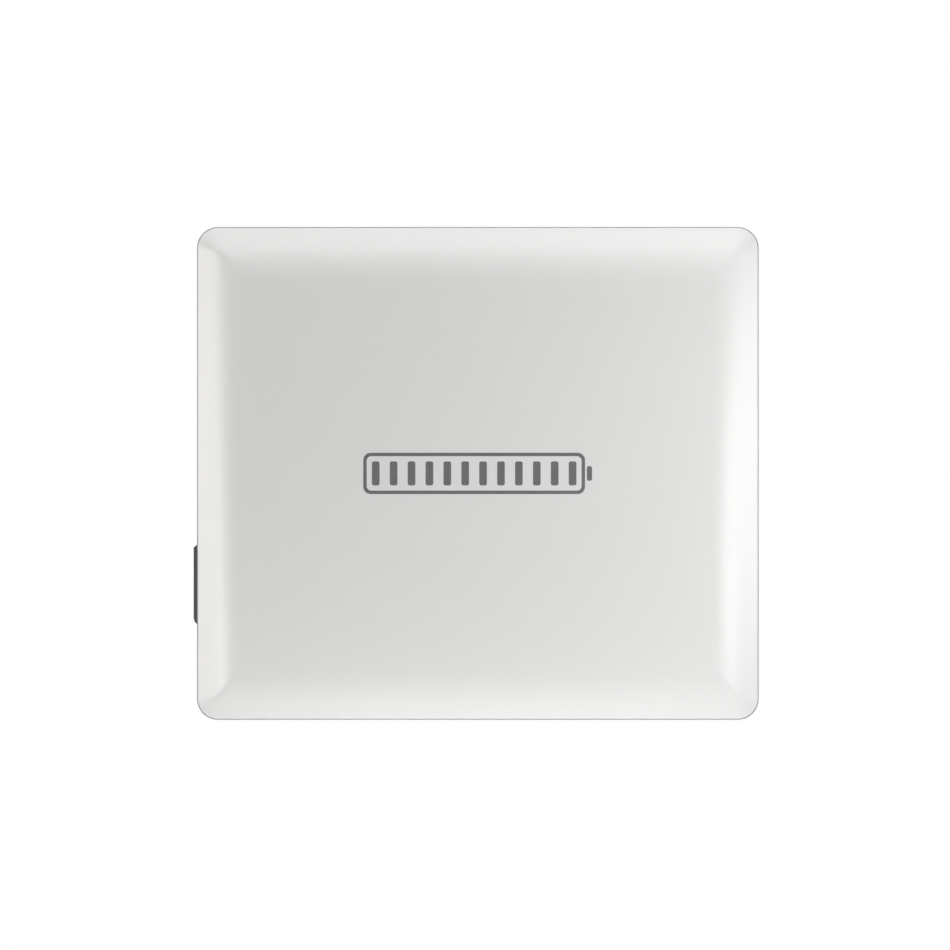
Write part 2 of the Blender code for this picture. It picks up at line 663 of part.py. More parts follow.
def flap_outline(offset=0.0):
    """The flap's section in (x, z): a sloping top under the hinge, a flat face, and a rounded foot."""
    face_x = FLAP_X + offset
    slope = (HINGE_Z + 0.004 - FLAP_TOP_Z) / (HINGE_X - FLAP_X)
    drop = offset * (math.hypot(1.0, slope) - slope)
    foot_x = WALL_X - 0.0045
    depth, height = foot_x - face_x, 0.016 - offset
    foot = [
        (foot_x - depth * math.cos(math.radians(a)), FLAP_BOTTOM_Z - height * math.sin(math.radians(a)))
        for a in (0, 22.5, 45, 67.5, 90)
    ]
    if offset:
        mouth_x = WALL_X
        top = FLAP_TOP_Z - drop
        head = [(mouth_x, top + (mouth_x - face_x) * slope), (face_x, top)]
        return [*head, *foot, (mouth_x, FLAP_BOTTOM_Z - height)]
    crown = HINGE_Z + 0.004
    head = [(foot_x, HINGE_Z - 0.0056), (-0.4475, crown - 0.0011), (HINGE_X, crown), (face_x, FLAP_TOP_Z)]
    return [*head, *foot]


def guard_flap():
    """The lift-up guard over the isolator, hung on a pin at its top."""
    flap = prism("guard_flap", flap_outline(), POD_Y, "Y", POD_PLASTIC)
    round_edges(flap, 0.0022)
    inside_y = (POD_Y[0] + FLAP_WALL, POD_Y[1] - FLAP_WALL)
    hollow = prism("flap_hollow", flap_outline(FLAP_WALL), inside_y, "Y", is_cutter=True)
    clearance = 0.0005
    barrel_y = (EARS_Y[0][1] + clearance, EARS_Y[1][0] - clearance)
    barrel_centre = (HINGE_X, sum(barrel_y) / 2, HINGE_Z)
    barrel_length = barrel_y[1] - barrel_y[0]
    barrel = cylinder("flap_barrel", barrel_centre, 0.0038, barrel_length, "Y", is_cutter=True)
    cut(flap, hollow)
    fuse(flap, barrel)
    for number, ear_y in enumerate(EARS_Y):
        notch_x = (HINGE_X - 0.007, WALL_X + 0.01)
        notch_y = (ear_y[0] - clearance, ear_y[1] + clearance)
        notch_z = (HINGE_Z - 0.0066, HINGE_Z + 0.01)
        notch = box(f"ear_notch_{number}", notch_x, notch_y, notch_z, is_cutter=True)
        cut(flap, notch)
    cut(flap, pin_way("barrel_bore"))

    pin_length = EARS_Y[1][1] - EARS_Y[0][0]
    pin_centre = (HINGE_X, (EARS_Y[0][0] + EARS_Y[1][1]) / 2, HINGE_Z)
    cylinder("flap_hinge_pin", pin_centre, PIN_RADIUS, pin_length, "Y", SCREW_STEEL, sides=12)


def isolator():
    """The rotary handle, its shaft through the housing wall with a seal ring, and the switch body inside."""
    disc_x, grip_x = (-0.4535, -0.4473), (-0.4625, -0.4525)
    disc_centre = (sum(disc_x) / 2, KNOB_Y, KNOB_Z)
    disc_length = disc_x[1] - disc_x[0]
    knob = cylinder("isolator_knob", disc_centre, KNOB_RADIUS, disc_length, "X", POD_PLASTIC, sides=28)
    grip_half_length, grip_half_width = 0.0185, 0.0050
    grip = box(
        "grip",
        grip_x,
        (KNOB_Y - grip_half_width, KNOB_Y + grip_half_width),
        (KNOB_Z - grip_half_length, KNOB_Z + grip_half_length),
        is_cutter=True,
    )
    round_edges(grip, 0.0015)
    bore_place = (disc_x[1], KNOB_Y, KNOB_Z)
    bore = cylinder("knob_bore", bore_place, SHAFT_BORE, 0.010, "X", sides=20, is_cutter=True)
    fuse(knob, grip)
    cut(knob, bore)

    shaft_x = (-0.4518, -0.4300)
    shaft_centre = (sum(shaft_x) / 2, KNOB_Y, KNOB_Z)
    shaft_length = shaft_x[1] - shaft_x[0]
    cylinder("isolator_shaft", shaft_centre, SHAFT_RADIUS, shaft_length, "X", SCREW_STEEL, sides=16)
    torus("shaft_seal", (WALL_X + 0.0025, KNOB_Y, KNOB_Z), 0.0048, 0.0006, "X", RUBBER)

    inner_x = WALL_X + BAY_WALL + GAP
    body_x = (inner_x, inner_x + ISOLATOR_DEPTH)
    body_z = (KNOB_Z - 0.026, KNOB_Z + 0.026)
    body = box("isolator_body", body_x, (-0.1000, -0.0610), body_z, BLACK_PLASTIC)
    round_edges(body, 0.002, 1)
    bore_place = (inner_x, KNOB_Y, KNOB_Z)
    cut(body, cylinder("body_bore", bore_place, SHAFT_BORE, 0.016, "X", sides=20, is_cutter=True))

    lens_y = (LENS_SLOT_Y[0] + GAP, LENS_SLOT_Y[1] - GAP)
    lens_z = (LENS_SLOT_Z[0] + GAP, LENS_SLOT_Z[1] - GAP)
    lens = box("status_lens", (WALL_X - 0.0012, WALL_X + 0.003 - GAP), lens_y, lens_z, LENS)
    round_edges(lens, 0.0008, 1)


# ---------------------------------------------------------------- cable entries below the wiring bay
def cable_entries():
    """An open threaded hub for a conduit, and a plug in the spare entry."""
    below = -HOUSING_HALF_Z - GAP
    hub = [
        (HUB_BORE, 0.0133),
        (HUB_THREAD, 0.0133),
        (HUB_THREAD, 0.0),
        (HUB_FLANGE, 0.0),
        (HUB_FLANGE, -0.0105),
        (HUB_BORE, -0.0105),
    ]
    turned("conduit_hub", hub, (HUB_X, ENTRY_Y, below), "Z", CAST_GREY, steps=24)
    plug = [
        (0.0, 0.0120),
        (0.0145, 0.0120),
        (0.0145, 0.0),
        (HUB_FLANGE, 0.0),
        (HUB_FLANGE, -0.0045),
        (0.0180, -0.0062),
        (0.0, -0.0062),
    ]
    turned("entry_plug", plug, (PLUG_X, ENTRY_Y, below), "Z", BLACK_PLASTIC, steps=24)


# ---------------------------------------------------------------- battery modules and electronics
def module_outline(x):
    """A module seen from the front: two columns of cells, with a groove at both sides between cells."""
    pitch = (MODULE_TOP_Z - MODULE_BOTTOM_Z) / CELLS
    right, left = [], []
    for number in range(1, CELLS):
        z = MODULE_BOTTOM_Z + number * pitch
        low, high = z - CELL_GROOVE / 2, z + CELL_GROOVE / 2
        right += [(x[1], low), (x[1] - CELL_GROOVE_DEPTH, z), (x[1], high)]
        left += [(x[0], low), (x[0] + CELL_GROOVE_DEPTH, z), (x[0], high)]
    corners = [(x[0], MODULE_BOTTOM_Z), (x[1], MODULE_BOTTOM_Z)]
    return corners + right + [(x[1], MODULE_TOP_Z), (x[0], MODULE_TOP_Z)] + left[::-1]


def battery_modules():
    """Two modules of sixteen cells, each under a busbar carrier, clamped down by a bar across their tops."""
    pitch = (MODULE_TOP_Z - MODULE_BOTTOM_Z) / CELLS
    for side, x in zip(("left", "right"), MODULES_X):
        module = prism(f"battery_module_{side}", module_outline(x), MODULE_Y, "Y", CELL_CASE)
        middle = sum(x) / 2
        gap_x = (middle - 0.0015, middle + 0.0015)
        gap_y = (MODULE_Y[0] - 0.01, MODULE_Y[0] + 0.006)
        column_gap = box(f"{side}_column_gap", gap_x, gap_y, (-0.5, 0.5), is_cutter=True)
        cut(module, column_gap)
        front = MODULE_Y[0] - GAP
        carrier = box(
            f"busbar_carrier_{side}",
            (x[0] + 0.010, x[1] - 0.010),
            (front - 0.003, front),
            (MODULE_BOTTOM_Z + 0.006, MODULE_TOP_Z - 0.006),
            BLACK_PLASTIC,
        )
        for column, column_x in enumerate(((x[0] + middle) / 2, (x[1] + middle) / 2)):
            for link in range(0, CELLS, 2):
                low_z = MODULE_BOTTOM_Z + (link + 0.3) * pitch
                pad = box(
                    f"{side}_link_{column}_{link}",
                    (column_x - 0.040, column_x + 0.040),
                    (front - 0.0050, front - 0.002),
                    (low_z, low_z + 1.4 * pitch),
                    is_cutter=True,
                )
                fuse(carrier, pad)
    bar_z = (MODULE_TOP_Z + GAP, MODULE_TOP_Z + GAP + 0.010)
    bar = box("module_clamp_bar", (-0.270, 0.408), (-0.160, -0.0700), bar_z, LID_METAL)
    round_edges(bar, 0.001, 1)
    box("bms_board", (0.4150, 0.4166), (-0.1600, -0.0700), (-0.300, 0.000), BOARD)


DC_WAY_Y, DC_WAY_Z = -0.120, 0.087
AC_WAY_Y, AC_WAY_Z = -0.083, 0.205


def power_electronics():
    """Potted converters against the back plate, and in front of them a board with a contactor and a fuse."""
    back = BACK_PLATE_Y[0] - GAP
    for side, x in (("left", (-0.262, 0.060)), ("right", (0.078, 0.400))):
        converter = box(f"power_converter_{side}", x, (-0.1040, back), (0.105, 0.345), BLACK_PLASTIC)
        round_edges(converter, 0.003, 1)
    board_y = (-0.1100, -0.1080)
    box("power_board", (-0.262, 0.400), board_y, (0.095, 0.355), BOARD)
    front = board_y[0] - GAP
    contactor = box("dc_contactor", (-0.225, -0.165), (front - 0.048, front), (0.265, 0.335), BLACK_PLASTIC)
    round_edges(contactor, 0.002, 1)
    for number, z in enumerate((0.285, 0.315)):
        stud_place = (-0.195, front - 0.050, z)
        stud = cylinder(f"contactor_stud_{number}", stud_place, 0.004, 0.012, "Y", is_cutter=True)
        fuse(contactor, stud)
    upper_half = [(0.0, 0.038), (0.007, 0.038), (0.007, 0.030), (0.012, 0.028)]
    fuse_profile = upper_half + [(radius, -height) for radius, height in reversed(upper_half)]
    turned("main_fuse", fuse_profile, (-0.080, front - 0.0125, 0.300), "X", CLIP_PLASTIC)


def wiring_bay():
    """Field terminals, earth bar, communication board, and the two cables through the bulkhead."""
    back = BACK_PLATE_Y[0] - GAP
    terminals = box("ac_terminal_block", (-0.405, -0.315), (-0.105, back), (-0.318, -0.278), BLACK_PLASTIC)
    for number in range(4):
        x = -0.3938 + number * 0.0225
        way_x = (x - 0.006, x + 0.006)
        way = box(f"wire_way_{number}", way_x, (-0.095, -0.075), (-0.33, -0.300), is_cutter=True)
        cut(terminals, way)
    earth = box("earth_bar", (-0.405, -0.350), (-0.0715, back), (-0.252, -0.240), COPPER)
    round_edges(earth, 0.001, 1)
    board = box("comm_board", (-0.425, -0.345), (-0.0660, -0.0644), (0.050, 0.250), BOARD)
    fuse(board, box("comm_socket", (-0.410, -0.360), (-0.080, -0.0650), (0.060, 0.080), is_cutter=True))

    converter_left_x = -0.262 - GAP
    ac_route = [
        (-0.335, AC_WAY_Y, -0.278 + GAP),
        (-0.335, AC_WAY_Y, -0.270),
        (-0.335, AC_WAY_Y, -0.262),
        (-0.332, AC_WAY_Y, -0.225),
        (-0.324, AC_WAY_Y, -0.120),
        (-0.324, AC_WAY_Y, 0.060),
        (-0.323, AC_WAY_Y, 0.165),
        (-0.316, AC_WAY_Y, 0.195),
        (sum(BULKHEAD_X) / 2, AC_WAY_Y, AC_WAY_Z),
        (-0.284, AC_WAY_Y, 0.208),
        (-0.274, AC_WAY_Y, 0.209),
        (-0.268, AC_WAY_Y, 0.209),
        (converter_left_x, AC_WAY_Y, 0.209),
    ]
    tube("ac_cable", ac_route, 0.0055, BLACK_PLASTIC)
    isolator_right_x = WALL_X + BAY_WALL + 2 * GAP + ISOLATOR_DEPTH
    dc_route = [
        (isolator_right_x, -0.080, -0.185),
        (isolator_right_x + 0.005, -0.080, -0.185),
        (isolator_right_x + 0.010, -0.080, -0.185),
        (-0.366, -0.086, -0.172),
        (-0.356, -0.103, -0.120),
        (-0.350, -0.118, -0.020),
        (-0.338, -0.121, 0.055),
        (-0.320, DC_WAY_Y, 0.080),
        (sum(BULKHEAD_X) / 2, DC_WAY_Y, DC_WAY_Z),
        (-0.284, -0.124, 0.100),
        (-0.279, -0.136, 0.150),
        (-0.278, -0.138, 0.230),
        (-0.268, -0.138, 0.284),
        (-0.245, -0.138, 0.302),
        (-0.235, -0.138, 0.302),
        (-0.225 - GAP, -0.138, 0.302),
    ]
    tube("dc_cable", dc_route, 0.0050, CABLE_ORANGE)


wall_bracket()
housing_hangers()
rear_housing()
heat_sink()
lids_and_seals()
fixings()
front_cover()
cover_fastenings()
switch_bezel()
guard_flap()
isolator()
cable_entries()
battery_modules()
power_electronics()
wiring_bay()
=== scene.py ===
"""Looks for the wall battery unit: a satin white tapered cover over a dark cast housing with a finned back.

Metres, +Z up, +Y into the wall, so the cover faces -Y. The CAD nodes give every place and size.
"""

import math

import bmesh
import bpy
from mathutils import Matrix, Vector


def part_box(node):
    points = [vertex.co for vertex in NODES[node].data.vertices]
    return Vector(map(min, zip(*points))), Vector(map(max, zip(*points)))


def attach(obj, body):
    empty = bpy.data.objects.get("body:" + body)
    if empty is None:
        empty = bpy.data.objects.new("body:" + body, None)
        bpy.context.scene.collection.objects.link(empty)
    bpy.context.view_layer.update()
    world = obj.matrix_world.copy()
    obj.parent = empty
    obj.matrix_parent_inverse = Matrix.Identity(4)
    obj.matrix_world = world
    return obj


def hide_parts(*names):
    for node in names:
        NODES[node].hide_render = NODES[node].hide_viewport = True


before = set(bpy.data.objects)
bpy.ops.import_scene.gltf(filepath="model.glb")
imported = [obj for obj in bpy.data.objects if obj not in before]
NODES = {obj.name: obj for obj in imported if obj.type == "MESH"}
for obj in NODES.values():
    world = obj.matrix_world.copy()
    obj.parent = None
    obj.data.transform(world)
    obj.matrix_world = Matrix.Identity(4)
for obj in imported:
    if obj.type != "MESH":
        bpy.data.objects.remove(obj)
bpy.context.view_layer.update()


# ---------------------------------------------------------------- materials
WAVE_PERIOD = 0.314  # metres from band to band in a wave texture of scale 1
LOWEST_ROUGHNESS = 0.02


class Surface:
    """A procedural material in the making. Texture coordinates are metres in the part's frame."""

    def __init__(self, name, colour, roughness, metallic=0.0):
        self.material = bpy.data.materials.new(name)
        self.material.use_nodes = True
        self.tree = self.material.node_tree
        self.shader = self.tree.nodes["Principled BSDF"]
        self.shader.inputs["Base Color"].default_value = (*colour, 1.0)
        self.shader.inputs["Roughness"].default_value = roughness
        self.shader.inputs["Metallic"].default_value = metallic
        self.material.diffuse_color = (*colour, 1.0)
        self.colour, self.roughness = colour, roughness
        self.coordinates = self.tree.nodes.new("ShaderNodeTexCoord").outputs["Object"]
        self.normal = None

    def node(self, kind, **settings):
        """A new node of this kind with these settings."""
        made = self.tree.nodes.new(kind)
        for key, value in settings.items():
            setattr(made, key, value)
        return made

    def stretched(self, scale):
        """The coordinates, scaled by different amounts along each axis."""
        mapping = self.node("ShaderNodeMapping")
        mapping.inputs["Scale"].default_value = scale
        self.tree.links.new(self.coordinates, mapping.inputs["Vector"])
        return mapping.outputs["Vector"]

    def noise(self, size, detail=3.0, stretch=(1, 1, 1)):
        """Noise whose features are about size metres across."""
        texture = self.node("ShaderNodeTexNoise")
        texture.inputs["Scale"].default_value = 1.0 / size
        texture.inputs["Detail"].default_value = detail
        self.tree.links.new(self.stretched(stretch), texture.inputs["Vector"])
        return texture.outputs["Fac"]

    def cells(self, size, stretch=(1, 1, 1)):
        """Soft-edged cells about size metres across."""
        texture = self.node("ShaderNodeTexVoronoi", feature="SMOOTH_F1")
        texture.inputs["Scale"].default_value = 1.0 / size
        self.tree.links.new(self.stretched(stretch), texture.inputs["Vector"])
        return texture.outputs["Distance"]

    def bands(self, pitch, axis):
        """Straight lines, pitch metres apart, that follow one another along the axis."""
        texture = self.node("ShaderNodeTexWave", wave_type="BANDS", bands_direction=axis)
        texture.inputs["Scale"].default_value = WAVE_PERIOD / pitch
        texture.inputs["Distortion"].default_value = 0.6
        texture.inputs["Detail"].default_value = 2.0
        self.tree.links.new(self.coordinates, texture.inputs["Vector"])
        return texture.outputs["Fac"]

    def spread(self, field, low, high, from_low=0.3, from_high=0.7):
        """The field's middle range, spread over low to high."""
        ranged = self.node("ShaderNodeMapRange")
        ranged.inputs["From Min"].default_value = from_low
        ranged.inputs["From Max"].default_value = from_high
        ranged.inputs["To Min"].default_value = low
        ranged.inputs["To Max"].default_value = high
        self.tree.links.new(field, ranged.inputs["Value"])
        return ranged.outputs["Result"]

    def vary_colour(self, field, darker, lighter):
        """The base colour, multiplied by darker to lighter as the field goes over its range."""
        mix = self.node("ShaderNodeMix", data_type="RGBA", blend_type="MIX")
        dark = [channel * darker for channel in self.colour]
        light = [min(channel * lighter, 1.0) for channel in self.colour]
        mix.inputs["A"].default_value = (*dark, 1.0)
        mix.inputs["B"].default_value = (*light, 1.0)
        self.tree.links.new(self.spread(field, 0.0, 1.0), mix.inputs["Factor"])
        self.tree.links.new(mix.outputs["Result"], self.shader.inputs["Base Color"])
        return self

    def vary_roughness(self, field, amount):
        """The roughness, from amount below its own value to amount above it."""
        lowest = max(self.roughness - amount, LOWEST_ROUGHNESS)
        varied = self.spread(field, lowest, self.roughness + amount)
        self.tree.links.new(varied, self.shader.inputs["Roughness"])
        return self

    def bump(self, field, height):
        """A relief, height metres deep. Calls add up."""
        bump = self.node("ShaderNodeBump")
        bump.inputs["Strength"].default_value = 1.0
        bump.inputs["Distance"].default_value = height
        self.tree.links.new(field, bump.inputs["Height"])
        if self.normal:
            self.tree.links.new(self.normal, bump.inputs["Normal"])
        self.normal = bump.outputs["Normal"]
        self.tree.links.new(self.normal, self.shader.inputs["Normal"])
        return self

    def set(self, **values):
        """Gives inputs of the shader their values, each named with _ in place of its spaces."""
        for key, value in values.items():
            self.shader.inputs[key.replace("_", " ")].default_value = value
        return self


def satin(name, colour):
    """Smooth moulded plastic under a satin lacquer."""
    surface = Surface(name, colour, 0.36)
    surface.vary_colour(surface.noise(0.30, 2.0), 0.995, 1.005)
    surface.vary_roughness(surface.noise(0.010, 4.0), 0.02)
    surface.bump(surface.noise(0.0012, 2.0), 0.000012)
    surface.bump(surface.noise(0.09, 1.0), 0.00006)
    return surface.set(IOR=1.5, Coat_Weight=0.6, Coat_Roughness=0.24).material


def powder_coat(name, colour, roughness=0.5):
    """Orange-peel powder coating with a fine speckle."""
    surface = Surface(name, colour, roughness)
    surface.vary_colour(surface.noise(0.0025, 3.0), 0.93, 1.08)
    surface.vary_roughness(surface.noise(0.02, 4.0), 0.05)
    surface.bump(surface.noise(0.0016, 2.0), 0.00010)
    surface.bump(surface.noise(0.0005, 2.0), 0.00003)
    return surface.material


def extruded(name, colour):
    """Anodised aluminium with die lines along the extrusion, which stands upright."""
    surface = Surface(name, colour, 0.38, 0.75)
    lines = surface.noise(0.0009, 3.0, stretch=(1, 1, 0.004))
    surface.vary_colour(surface.noise(0.06, 3.0, stretch=(1, 1, 0.2)), 0.90, 1.12)
    surface.vary_roughness(lines, 0.07)
    surface.bump(lines, 0.00002)
    return surface.material


def zinc_plate(name, colour, roughness=0.36, blotch=0.012):
    """Zinc-plated sheet steel: a blotchy spangle over faint rolling lines along X."""
    surface = Surface(name, colour, roughness, 1.0)
    spangle = surface.cells(blotch, stretch=(0.7, 1, 1))
    surface.vary_colour(spangle, 0.92, 1.06)
    surface.vary_roughness(surface.noise(0.008, 5.0), 0.07)
    surface.bump(surface.noise(0.0007, 2.0, stretch=(0.02, 1, 1)), 0.00001)
    return surface.material


def brushed_sheet(name, colour, along="Z"):
    """Sheet aluminium, brushed one way."""
    surface = Surface(name, colour, 0.42, 1.0)
    stretch = (1, 1, 0.01) if along == "Z" else (0.01, 1, 1)
    grain = surface.noise(0.0008, 4.0, stretch=stretch)
    surface.vary_colour(surface.noise(0.05, 3.0), 0.95, 1.04)
    surface.vary_roughness(grain, 0.08)
    surface.bump(grain, 0.000012)
    return surface.material


def turned_steel(name, colour, roughness=0.28):
    """Bare metal with a fine uneven sheen, as on screws, pins and bars."""
    surface = Surface(name, colour, roughness, 1.0)
    surface.vary_colour(surface.noise(0.003, 3.0), 0.90, 1.05)
    surface.vary_roughness(surface.noise(0.0012, 4.0), 0.08)
    surface.bump(surface.noise(0.0004, 2.0), 0.000008)
    return surface.material


def moulded(name, colour, roughness=0.5, texture=0.0006, relief=0.00003):
    """Injection-moulded plastic with a spark-eroded texture."""
    surface = Surface(name, colour, roughness)
    surface.vary_colour(surface.noise(0.012, 3.0), 0.93, 1.07)
    surface.vary_roughness(surface.noise(0.006, 4.0), 0.05)
    surface.bump(surface.noise(texture, 3.0), relief)
    return surface.set(IOR=1.5).material


def rubber():
    """Matt black rubber, a little dusty."""
    surface = Surface("black_rubber", (0.022, 0.022, 0.023), 0.78)
    surface.vary_colour(surface.noise(0.006, 4.0), 0.8, 1.5)
    surface.vary_roughness(surface.noise(0.004, 3.0), 0.08)
    surface.bump(surface.noise(0.0008, 3.0), 0.00004)
    return surface.material


def frosted_lens():
    """The pale frosted plastic of the status light bar."""
    surface = Surface("frosted_light_guide", (0.80, 0.84, 0.87), 0.25)
    surface.vary_roughness(surface.noise(0.003, 3.0), 0.06)
    surface.bump(surface.noise(0.0008, 2.0), 0.00001)
    return surface.set(IOR=1.49).material


def circuit_board():
    """Solder mask over a grid of faint tracks."""
    surface = Surface("circuit_board", (0.025, 0.15, 0.06), 0.38)
    surface.vary_colour(surface.cells(0.006, stretch=(1, 1, 2)), 0.7, 1.5)
    surface.vary_roughness(surface.noise(0.01, 3.0), 0.06)
    surface.bump(surface.bands(0.004, "X"), 0.00003)
    return surface.material


def cell_film():
    """Blue shrink film, slightly rippled, round the battery cells."""
    surface = Surface("blue_cell_film", (0.05, 0.14, 0.34), 0.33)
    surface.vary_colour(surface.noise(0.03, 3.0), 0.88, 1.12)
    surface.vary_roughness(surface.noise(0.02, 3.0), 0.07)
    surface.bump(surface.noise(0.02, 3.0, stretch=(1, 1, 0.3)), 0.0003)
    return surface.set(Coat_Weight=0.3, Coat_Roughness=0.15).material


WHITE = satin("satin_white_cover", (0.80, 0.80, 0.795))
# The side wall takes a darker copy of the satin white: painted shade, which keeps it duller than the face
# under the lamps.
SIDE_WHITE_PAINTED_SHADE = satin("satin_cover_side_painted_shade", (0.56, 0.56, 0.558))
# A dark grey line of painted shade on the edge radius, standing for the shaded rim round the cover's face.
EDGE_LINE_PAINTED_SHADE = powder_coat("cover_edge_line_painted_shade", (0.25, 0.25, 0.255), 0.6)
HOUSING = powder_coat("housing_powder_coat", (0.20, 0.208, 0.217))
HUB = powder_coat("hub_powder_coat", (0.30, 0.31, 0.32), 0.42)
SINK = extruded("heat_sink_anodised", (0.095, 0.097, 0.102))
BRACKET = zinc_plate("bracket_zinc", (0.60, 0.61, 0.62))
HOOK = zinc_plate("hook_zinc", (0.66, 0.66, 0.65), 0.32, 0.008)
LID = brushed_sheet("lid_brushed", (0.60, 0.61, 0.62))
CLAMP = brushed_sheet("clamp_brushed", (0.62, 0.63, 0.64), "X")
SCREW = turned_steel("screw_steel", (0.67, 0.67, 0.66))
DARK_SCREW = turned_steel("lock_screw_steel", (0.30, 0.30, 0.31), 0.34)
SLATE = moulded("slate_plastic", (0.046, 0.049, 0.054), 0.46)
SLATE_LIGHT = moulded("slate_plastic_bezel", (0.050, 0.053, 0.058), 0.52)
KNOB = moulded("handle_plastic", (0.42, 0.028, 0.022), 0.42)
BLACK = moulded("black_plastic", (0.028, 0.028, 0.030), 0.50)
POTTING = moulded("potted_converter", (0.020, 0.020, 0.024), 0.35, 0.004, 0.00008)
NYLON = moulded("natural_nylon", (0.70, 0.69, 0.64), 0.46)
CERAMIC = moulded("fuse_ceramic", (0.80, 0.79, 0.74), 0.55, 0.0004)
JACKET = moulded("orange_jacket", (0.72, 0.20, 0.03), 0.5, 0.0015)
GREY_JACKET = moulded("grey_jacket", (0.10, 0.10, 0.105), 0.55, 0.0015)
PRINT = moulded("grey_print", (0.155, 0.158, 0.162), 0.46, 0.0004, 0.000006)
PLATE = brushed_sheet("rating_plate_foil", (0.56, 0.57, 0.58), "X")
RUBBER = rubber()
LENS = frosted_lens()
BOARD = circuit_board()
FILM = cell_film()
COPPER = turned_steel("bare_copper", (0.72, 0.42, 0.27), 0.30)


# ---------------------------------------------------------------- making pieces
MERGE_DISTANCE = 2e-6  # for the points of a CAD mesh
WELD_DISTANCE = 1e-6  # for the points of a shape made here
FLAT_DEGREES = 0.6  # faces that meet at less than this are one flat face


def link(name, mesh, material, body):
    """A new piece of one material that rides on a body."""
    piece = bpy.data.objects.new(name, mesh)
    bpy.context.scene.collection.objects.link(piece)
    mesh.materials.clear()
    mesh.materials.append(material)
    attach(piece, body)
    return piece


def apply_modifiers(piece):
    """Bakes the piece's modifiers into its mesh."""
    graph = bpy.context.evaluated_depsgraph_get()
    mesh = bpy.data.meshes.new_from_object(piece.evaluated_get(graph))
    piece.modifiers.clear()
    old, piece.data = piece.data, mesh
    bpy.data.meshes.remove(old)
    return piece


def smooth(mesh, angle):
    """Smooth shading, with the edges over angle degrees kept sharp."""
    mesh.shade_smooth()
    mesh.set_sharp_from_angle(angle=math.radians(angle))


def refined(node, body, material, edge=0.0, segments=2, angle=35, smoothing=30):
    """A copy of a CAD node that stands for it, with its flat faces rejoined.

    Edges over angle degrees are rounded by edge metres. Those over smoothing degrees stay sharp to the eye.
    """
    mesh = NODES[node].data.copy()
    shape = bmesh.new()
    shape.from_mesh(mesh)
    bmesh.ops.remove_doubles(shape, verts=shape.verts, dist=MERGE_DISTANCE)
    flat = math.radians(FLAT_DEGREES)
    bmesh.ops.dissolve_limit(shape, angle_limit=flat, verts=shape.verts, edges=shape.edges)
    shape.to_mesh(mesh)
    shape.free()
    if "custom_normal" in mesh.attributes:
        mesh.attributes.remove(mesh.attributes["custom_normal"])
    piece = link(f"{node}_finish", mesh, material, body)
    smooth(piece.data, smoothing)
    if edge:
        bevel = piece.modifiers.new("edge", "BEVEL")
        bevel.width = edge
        bevel.segments = segments
        bevel.limit_method = "ANGLE"
        bevel.angle_limit = math.radians(angle)
        flatten = piece.modifiers.new("flat faces", "WEIGHTED_NORMAL")
        flatten.keep_sharp = True
        apply_modifiers(piece)
    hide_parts(node)


def rounded_rectangle(half_x, half_z, radius, steps):
    """A closed outline with four corner arcs, anticlockwise from the front."""
    points = []
    for quarter, (sign_x, sign_z) in enumerate(((1, 1), (-1, 1), (-1, -1), (1, -1))):
        for step in range(steps + 1):
            angle = (quarter + step / steps) * math.pi / 2
            x = sign_x * (half_x - radius) + radius * math.cos(angle)
            z = sign_z * (half_z - radius) + radius * math.sin(angle)
            points.append((x, z))
    return points


def loft(rings, close_end=False):
    """A sheet through rings of equal point counts, each a list of 3-D points."""
    shape = bmesh.new()
    rows = [[shape.verts.new(point) for point in ring] for ring in rings]
    for first, second in zip(rows, rows[1:]):
        for i in range(len(first)):
            j = (i + 1) % len(first)
            shape.faces.new((first[i], first[j], second[j], second[i]))
    if close_end:
        shape.faces.new(rows[-1])
    return shape


def weld(shape):
    """Joins points that lie on one another and turns every face outward."""
    bmesh.ops.remove_doubles(shape, verts=shape.verts, dist=WELD_DISTANCE)
    bmesh.ops.recalc_face_normals(shape, faces=shape.faces)


def to_mesh(shape, name):
    """A mesh of this name from a bmesh, which is then freed."""
    mesh = bpy.data.meshes.new(name)
    shape.to_mesh(mesh)
    shape.free()
    return mesh


# ---------------------------------------------------------------- front cover
COVER_LOW, COVER_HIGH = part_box("front_cover")
COVER_HALF_X = (COVER_HIGH.x - COVER_LOW.x) / 2
COVER_HALF_Z = (COVER_HIGH.z - COVER_LOW.z) / 2
COVER_REAR_Y = COVER_HIGH.y
COVER_FRONT_Y = COVER_LOW.y
COVER_CORNER = 0.034  # the corner radius of the cover's outline
INNER_CORNER = 0.010  # the smallest corner radius of a ring on the face
CORNER_CLOSING = 0.75  # how much a ring's corner radius shrinks for each metre inward
CORNER_STEPS = 12
EDGE_RADIUS = 0.0030
TAPER_SLOPE, TAPER_WIDTH, TAPER_BLEND = 0.31, 0.032, 0.056
SIDE_TAPER = 0.90  # how wide the side tapers are, against the top and bottom ones
TOTAL_RISE = TAPER_SLOPE * (TAPER_WIDTH + TAPER_BLEND / 2)
COVER_EDGE_Y = COVER_FRONT_Y + TOTAL_RISE
COVER_WALL = 0.0025
LIP_WIDTH = 0.009
LIP_RADIUS = 0.0006
WALL_STEPS, RADIUS_STEPS, TAPER_STEPS = 4, 8, 30
SIDE_STEPS = 2 + WALL_STEPS  # the steps of the lip and the side wall
SHADE_LINE_STEPS = 7  # of the steps round the edge radius, those that the grey line of painted shade covers


def cover_rise(inset):
    """How far the face stands forward of its edge, at a distance in from the edge."""
    if inset <= TAPER_WIDTH:
        return TAPER_SLOPE * inset
    along = min(inset - TAPER_WIDTH, TAPER_BLEND)
    return TAPER_SLOPE * (TAPER_WIDTH + along - along**2 / (2 * TAPER_BLEND))


